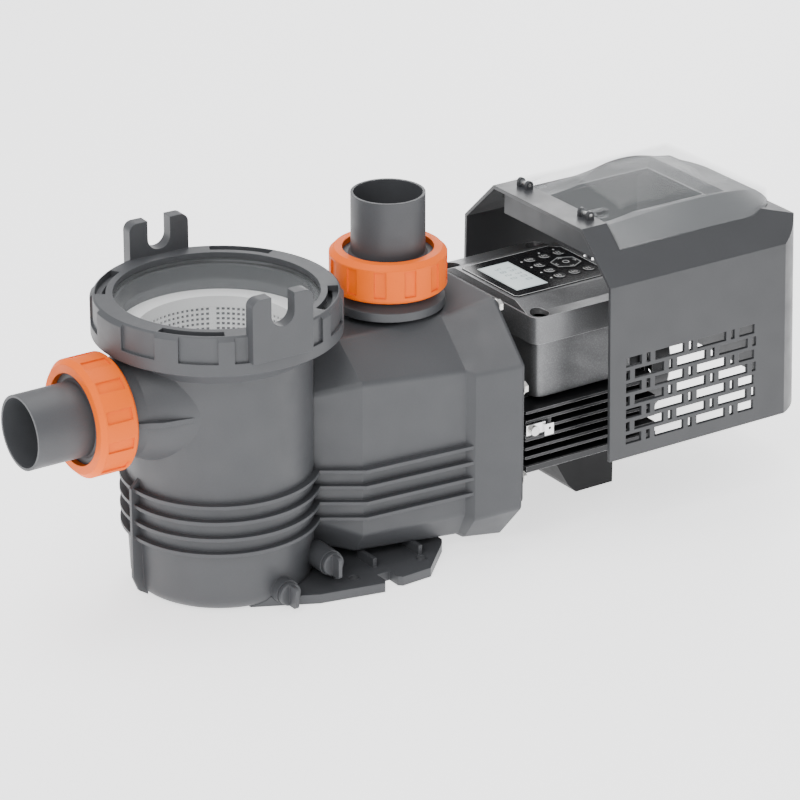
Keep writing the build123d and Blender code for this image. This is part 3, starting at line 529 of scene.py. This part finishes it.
def nav_marks(ink):
    """Four arrowheads and a six-sided outline on the direction pad."""
    low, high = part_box("nav_pad")
    cx, cy = middle(low, high)
    heights = print_heights(high.z)
    arrows = Solid()
    tip = ARROW_REACH + ARROW_LONG
    for k in range(4):
        ax, ay = math.cos(math.radians(90 * k)), math.sin(math.radians(90 * k))
        side = (-ay * ARROW_HALF, ax * ARROW_HALF)
        foot = (cx + ARROW_REACH * ax, cy + ARROW_REACH * ay)
        arrows.ribbon([(foot[0] + side[0], foot[1] + side[1]), (cx + tip * ax, cy + tip * ay),
                       (foot[0] - side[0], foot[1] - side[1])], ARROW_STROKE, *heights)
    half_x, half_y = (high.x - low.x) / 2 * 1.04, (high.y - low.y) / 2 * 0.9
    outline = []
    for k in range(7):
        a = math.radians(90 + 60 * k)
        outline.append((cx + half_x * math.cos(a), cy + half_y * math.sin(a)))
    arrows.ribbon(outline, NAV_EDGE_STROKE, *heights)
    arrows.piece("NavMarks", "key_caps", "nav", ink)


def panel_lamps(ink):
    """Small indicator lenses beside the keys."""
    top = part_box("keypad_overlay")[1].z
    foot, shoulder, crown = top - 0.1 * MM, top + 0.1 * MM, top + 0.25 * MM
    near_axis = 0.05 * MM
    lamps = Solid()
    for x, y in LAMP_SPOTS:
        lens = [(near_axis, foot), (LAMP_R, foot), (LAMP_R, shoulder), (LAMP_R * 0.6, crown),
                (near_axis, top + 0.3 * MM)]
        lamps.lathe(lens, (x * MM, y * MM), LAMP_STEPS)
    lamps.piece("PanelLamps", "panel_dark", "pump", ink)


def keypad_edge_highlight(ink):
    """Thin pale line just inside the rim of the keypad film: a painted highlight along the film's
    edge.
    """
    low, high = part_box("keypad_overlay")
    inset, cut, slant = 0.9 * MM, 3 * MM, 8 * MM
    x0, x1, y0, y1 = low.x + inset, high.x - inset, low.y + inset, high.y - inset
    rim = [(x0, y0 + cut), (x0 + cut, y0), (x1 - slant, y0), (x1, y0 + slant), (x1, y1 - slant),
           (x1 - slant, y1), (x0 + cut, y1), (x0, y1 - cut), (x0, y0 + cut)]
    # painted highlight along the keypad film's edge
    line = Solid()
    line.ribbon(rim, 0.45 * MM, high.z - MARK_SINK, high.z + 0.06 * MM)
    line.piece("KeypadEdgeHighlight", "panel_dark", "pump", ink)


SEGMENTS = {0: "abcdef", 1: "bc", 2: "abdeg", 3: "abcdg", 5: "acdfg", 8: "abcdefg"}
SEGMENT_ENDS = {"a": ((0, 0), (1, 0)), "b": ((1, 0), (1, 1)), "c": ((1, 1), (1, 2)),
                "d": ((0, 2), (1, 2)), "e": ((0, 1), (0, 2)), "f": ((0, 0), (0, 1)),
                "g": ((0, 1), (1, 1))}
LCD_ROWS = ((0.36, (2, 8, 5, 0)), (0.68, (1, 2, 3, 0, 0)))   # share of the display, and digits
DIGIT_WIDE, DIGIT_TALL = 2.6 * MM, 5.0 * MM
DIGIT_MARGIN, DIGIT_PITCH = 9 * MM, 7.6 * MM
LCD_INSET = 1.0 * MM


def lcd_digits():
    """Rows of generic seven-segment digits, read from the front of the pump."""
    dark = film("LcdSegments", (0.30, 0.40, 0.42), 0.4, 0.01)
    low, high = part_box("lcd_display")
    heights = (high.z - LCD_SINK, high.z + LCD_RISE)
    digits = Solid()
    for share, numbers in LCD_ROWS:
        x0 = low.x + (high.x - low.x) * share
        for k, number in enumerate(numbers):
            y0 = high.y - (DIGIT_MARGIN + DIGIT_PITCH * k)
            for name in SEGMENTS[number]:
                line = [(x0 + v * DIGIT_TALL / 2, y0 - u * DIGIT_WIDE)
                        for u, v in SEGMENT_ENDS[name]]
                digits.ribbon(line, STROKE, *heights)
    digits.piece("LcdDigits", "lcd", "pump", dark)
    x0, x1, y0, y1 = low.x + LCD_INSET, high.x - LCD_INSET, low.y + LCD_INSET, high.y - LCD_INSET
    border = Solid()
    border.ribbon([(x0, y0), (x1, y0), (x1, y1), (x0, y1), (x0, y0)], THIN_STROKE, *heights)
    border.piece("LcdBorder", "lcd", "pump", dark)


# ---------------------------------------------------------------------- staging

FLOOR_HALF, FLOOR_DROP, FLOOR_GLOW = 6.0, 0.0005, 1.5
WORLD_COLOUR, WORLD_STRENGTH = (0.98, 0.985, 1.0, 1.0), 0.85
LIGHT_AIM = (0.15, 0.0, 0.12)
LIGHTS = (          # name, place, width, height, watts
    ("Overhead", (0.1, 0.3, 2.2), 2.0, 1.4, 38.0),
    ("KeyLeft", (-1.6, -1.2, 1.8), 1.2, 1.2, 30.0),
    ("BackRight", (1.8, 1.6, 1.3), 1.0, 1.6, 24.0),
    ("FrontFill", (1.0, -2.6, 0.7), 1.6, 0.9, 3.0),
)
LENS_MM, SENSOR_MM = 187.2, 36.0
CAMERA_TARGET = (0.17314, 0.0, 0.11034)
CAMERA_AZIMUTH, CAMERA_ELEVATION = -33.97, 23.31     # degrees
CAMERA_DISTANCE = 3.40042


def floor():
    mesh = bpy.data.meshes.new("Floor")
    half = FLOOR_HALF
    mesh.from_pydata([(-half, -half, 0), (half, -half, 0), (half, half, 0), (-half, half, 0)], [],
                     [(0, 1, 2, 3)])
    made = bpy.data.objects.new("Floor", mesh)
    bpy.context.scene.collection.objects.link(made)
    s = Shader("FloorPaint", (0.86, 0.86, 0.87), 0.55)
    s.colour(s.mix(s.span(s.noise(1.2, 2.0), 0.0, 1.0), (0.84, 0.84, 0.85), (0.88, 0.88, 0.885)))
    s.set("Emission Color", (1.0, 1.0, 1.0, 1.0))
    s.set("Emission Strength", FLOOR_GLOW)
    mesh.materials.append(s.material)
    made.location.z = -FLOOR_DROP


def area_light(name, place, width, height, watts):
    light = bpy.data.lights.new(name, "AREA")
    light.energy = watts
    light.shape = "RECTANGLE"
    light.size, light.size_y = width, height
    made = bpy.data.objects.new(name, light)
    bpy.context.scene.collection.objects.link(made)
    made.location = place
    made.rotation_mode = "QUATERNION"
    made.rotation_quaternion = (Vector(LIGHT_AIM) - Vector(place)).to_track_quat("-Z", "Y")


def studio():
    world = bpy.data.worlds.new("Studio")
    bpy.context.scene.world = world
    world.use_nodes = True
    background = world.node_tree.nodes["Background"]
    background.inputs["Color"].default_value = WORLD_COLOUR
    background.inputs["Strength"].default_value = WORLD_STRENGTH
    for light in LIGHTS:
        area_light(*light)


def camera():
    lens = bpy.data.cameras.new("Camera")
    lens.lens = LENS_MM
    lens.sensor_width = SENSOR_MM
    lens.clip_start, lens.clip_end = 0.1, 30.0
    made = bpy.data.objects.new("Camera", lens)
    bpy.context.scene.collection.objects.link(made)
    azimuth, elevation = math.radians(CAMERA_AZIMUTH), math.radians(CAMERA_ELEVATION)
    back = Vector((math.sin(azimuth) * math.cos(elevation),
                   -math.cos(azimuth) * math.cos(elevation), math.sin(elevation)))
    made.location = Vector(CAMERA_TARGET) + back * CAMERA_DISTANCE
    made.rotation_mode = "QUATERNION"
    made.rotation_quaternion = (-back).to_track_quat("-Z", "Y")
    bpy.context.scene.camera = made


dress_cad_nodes()
strainer_basket()
ink = marks()
panel_lamps(ink)
keypad_edge_highlight(ink)
lcd_digits()
floor()
studio()
camera()
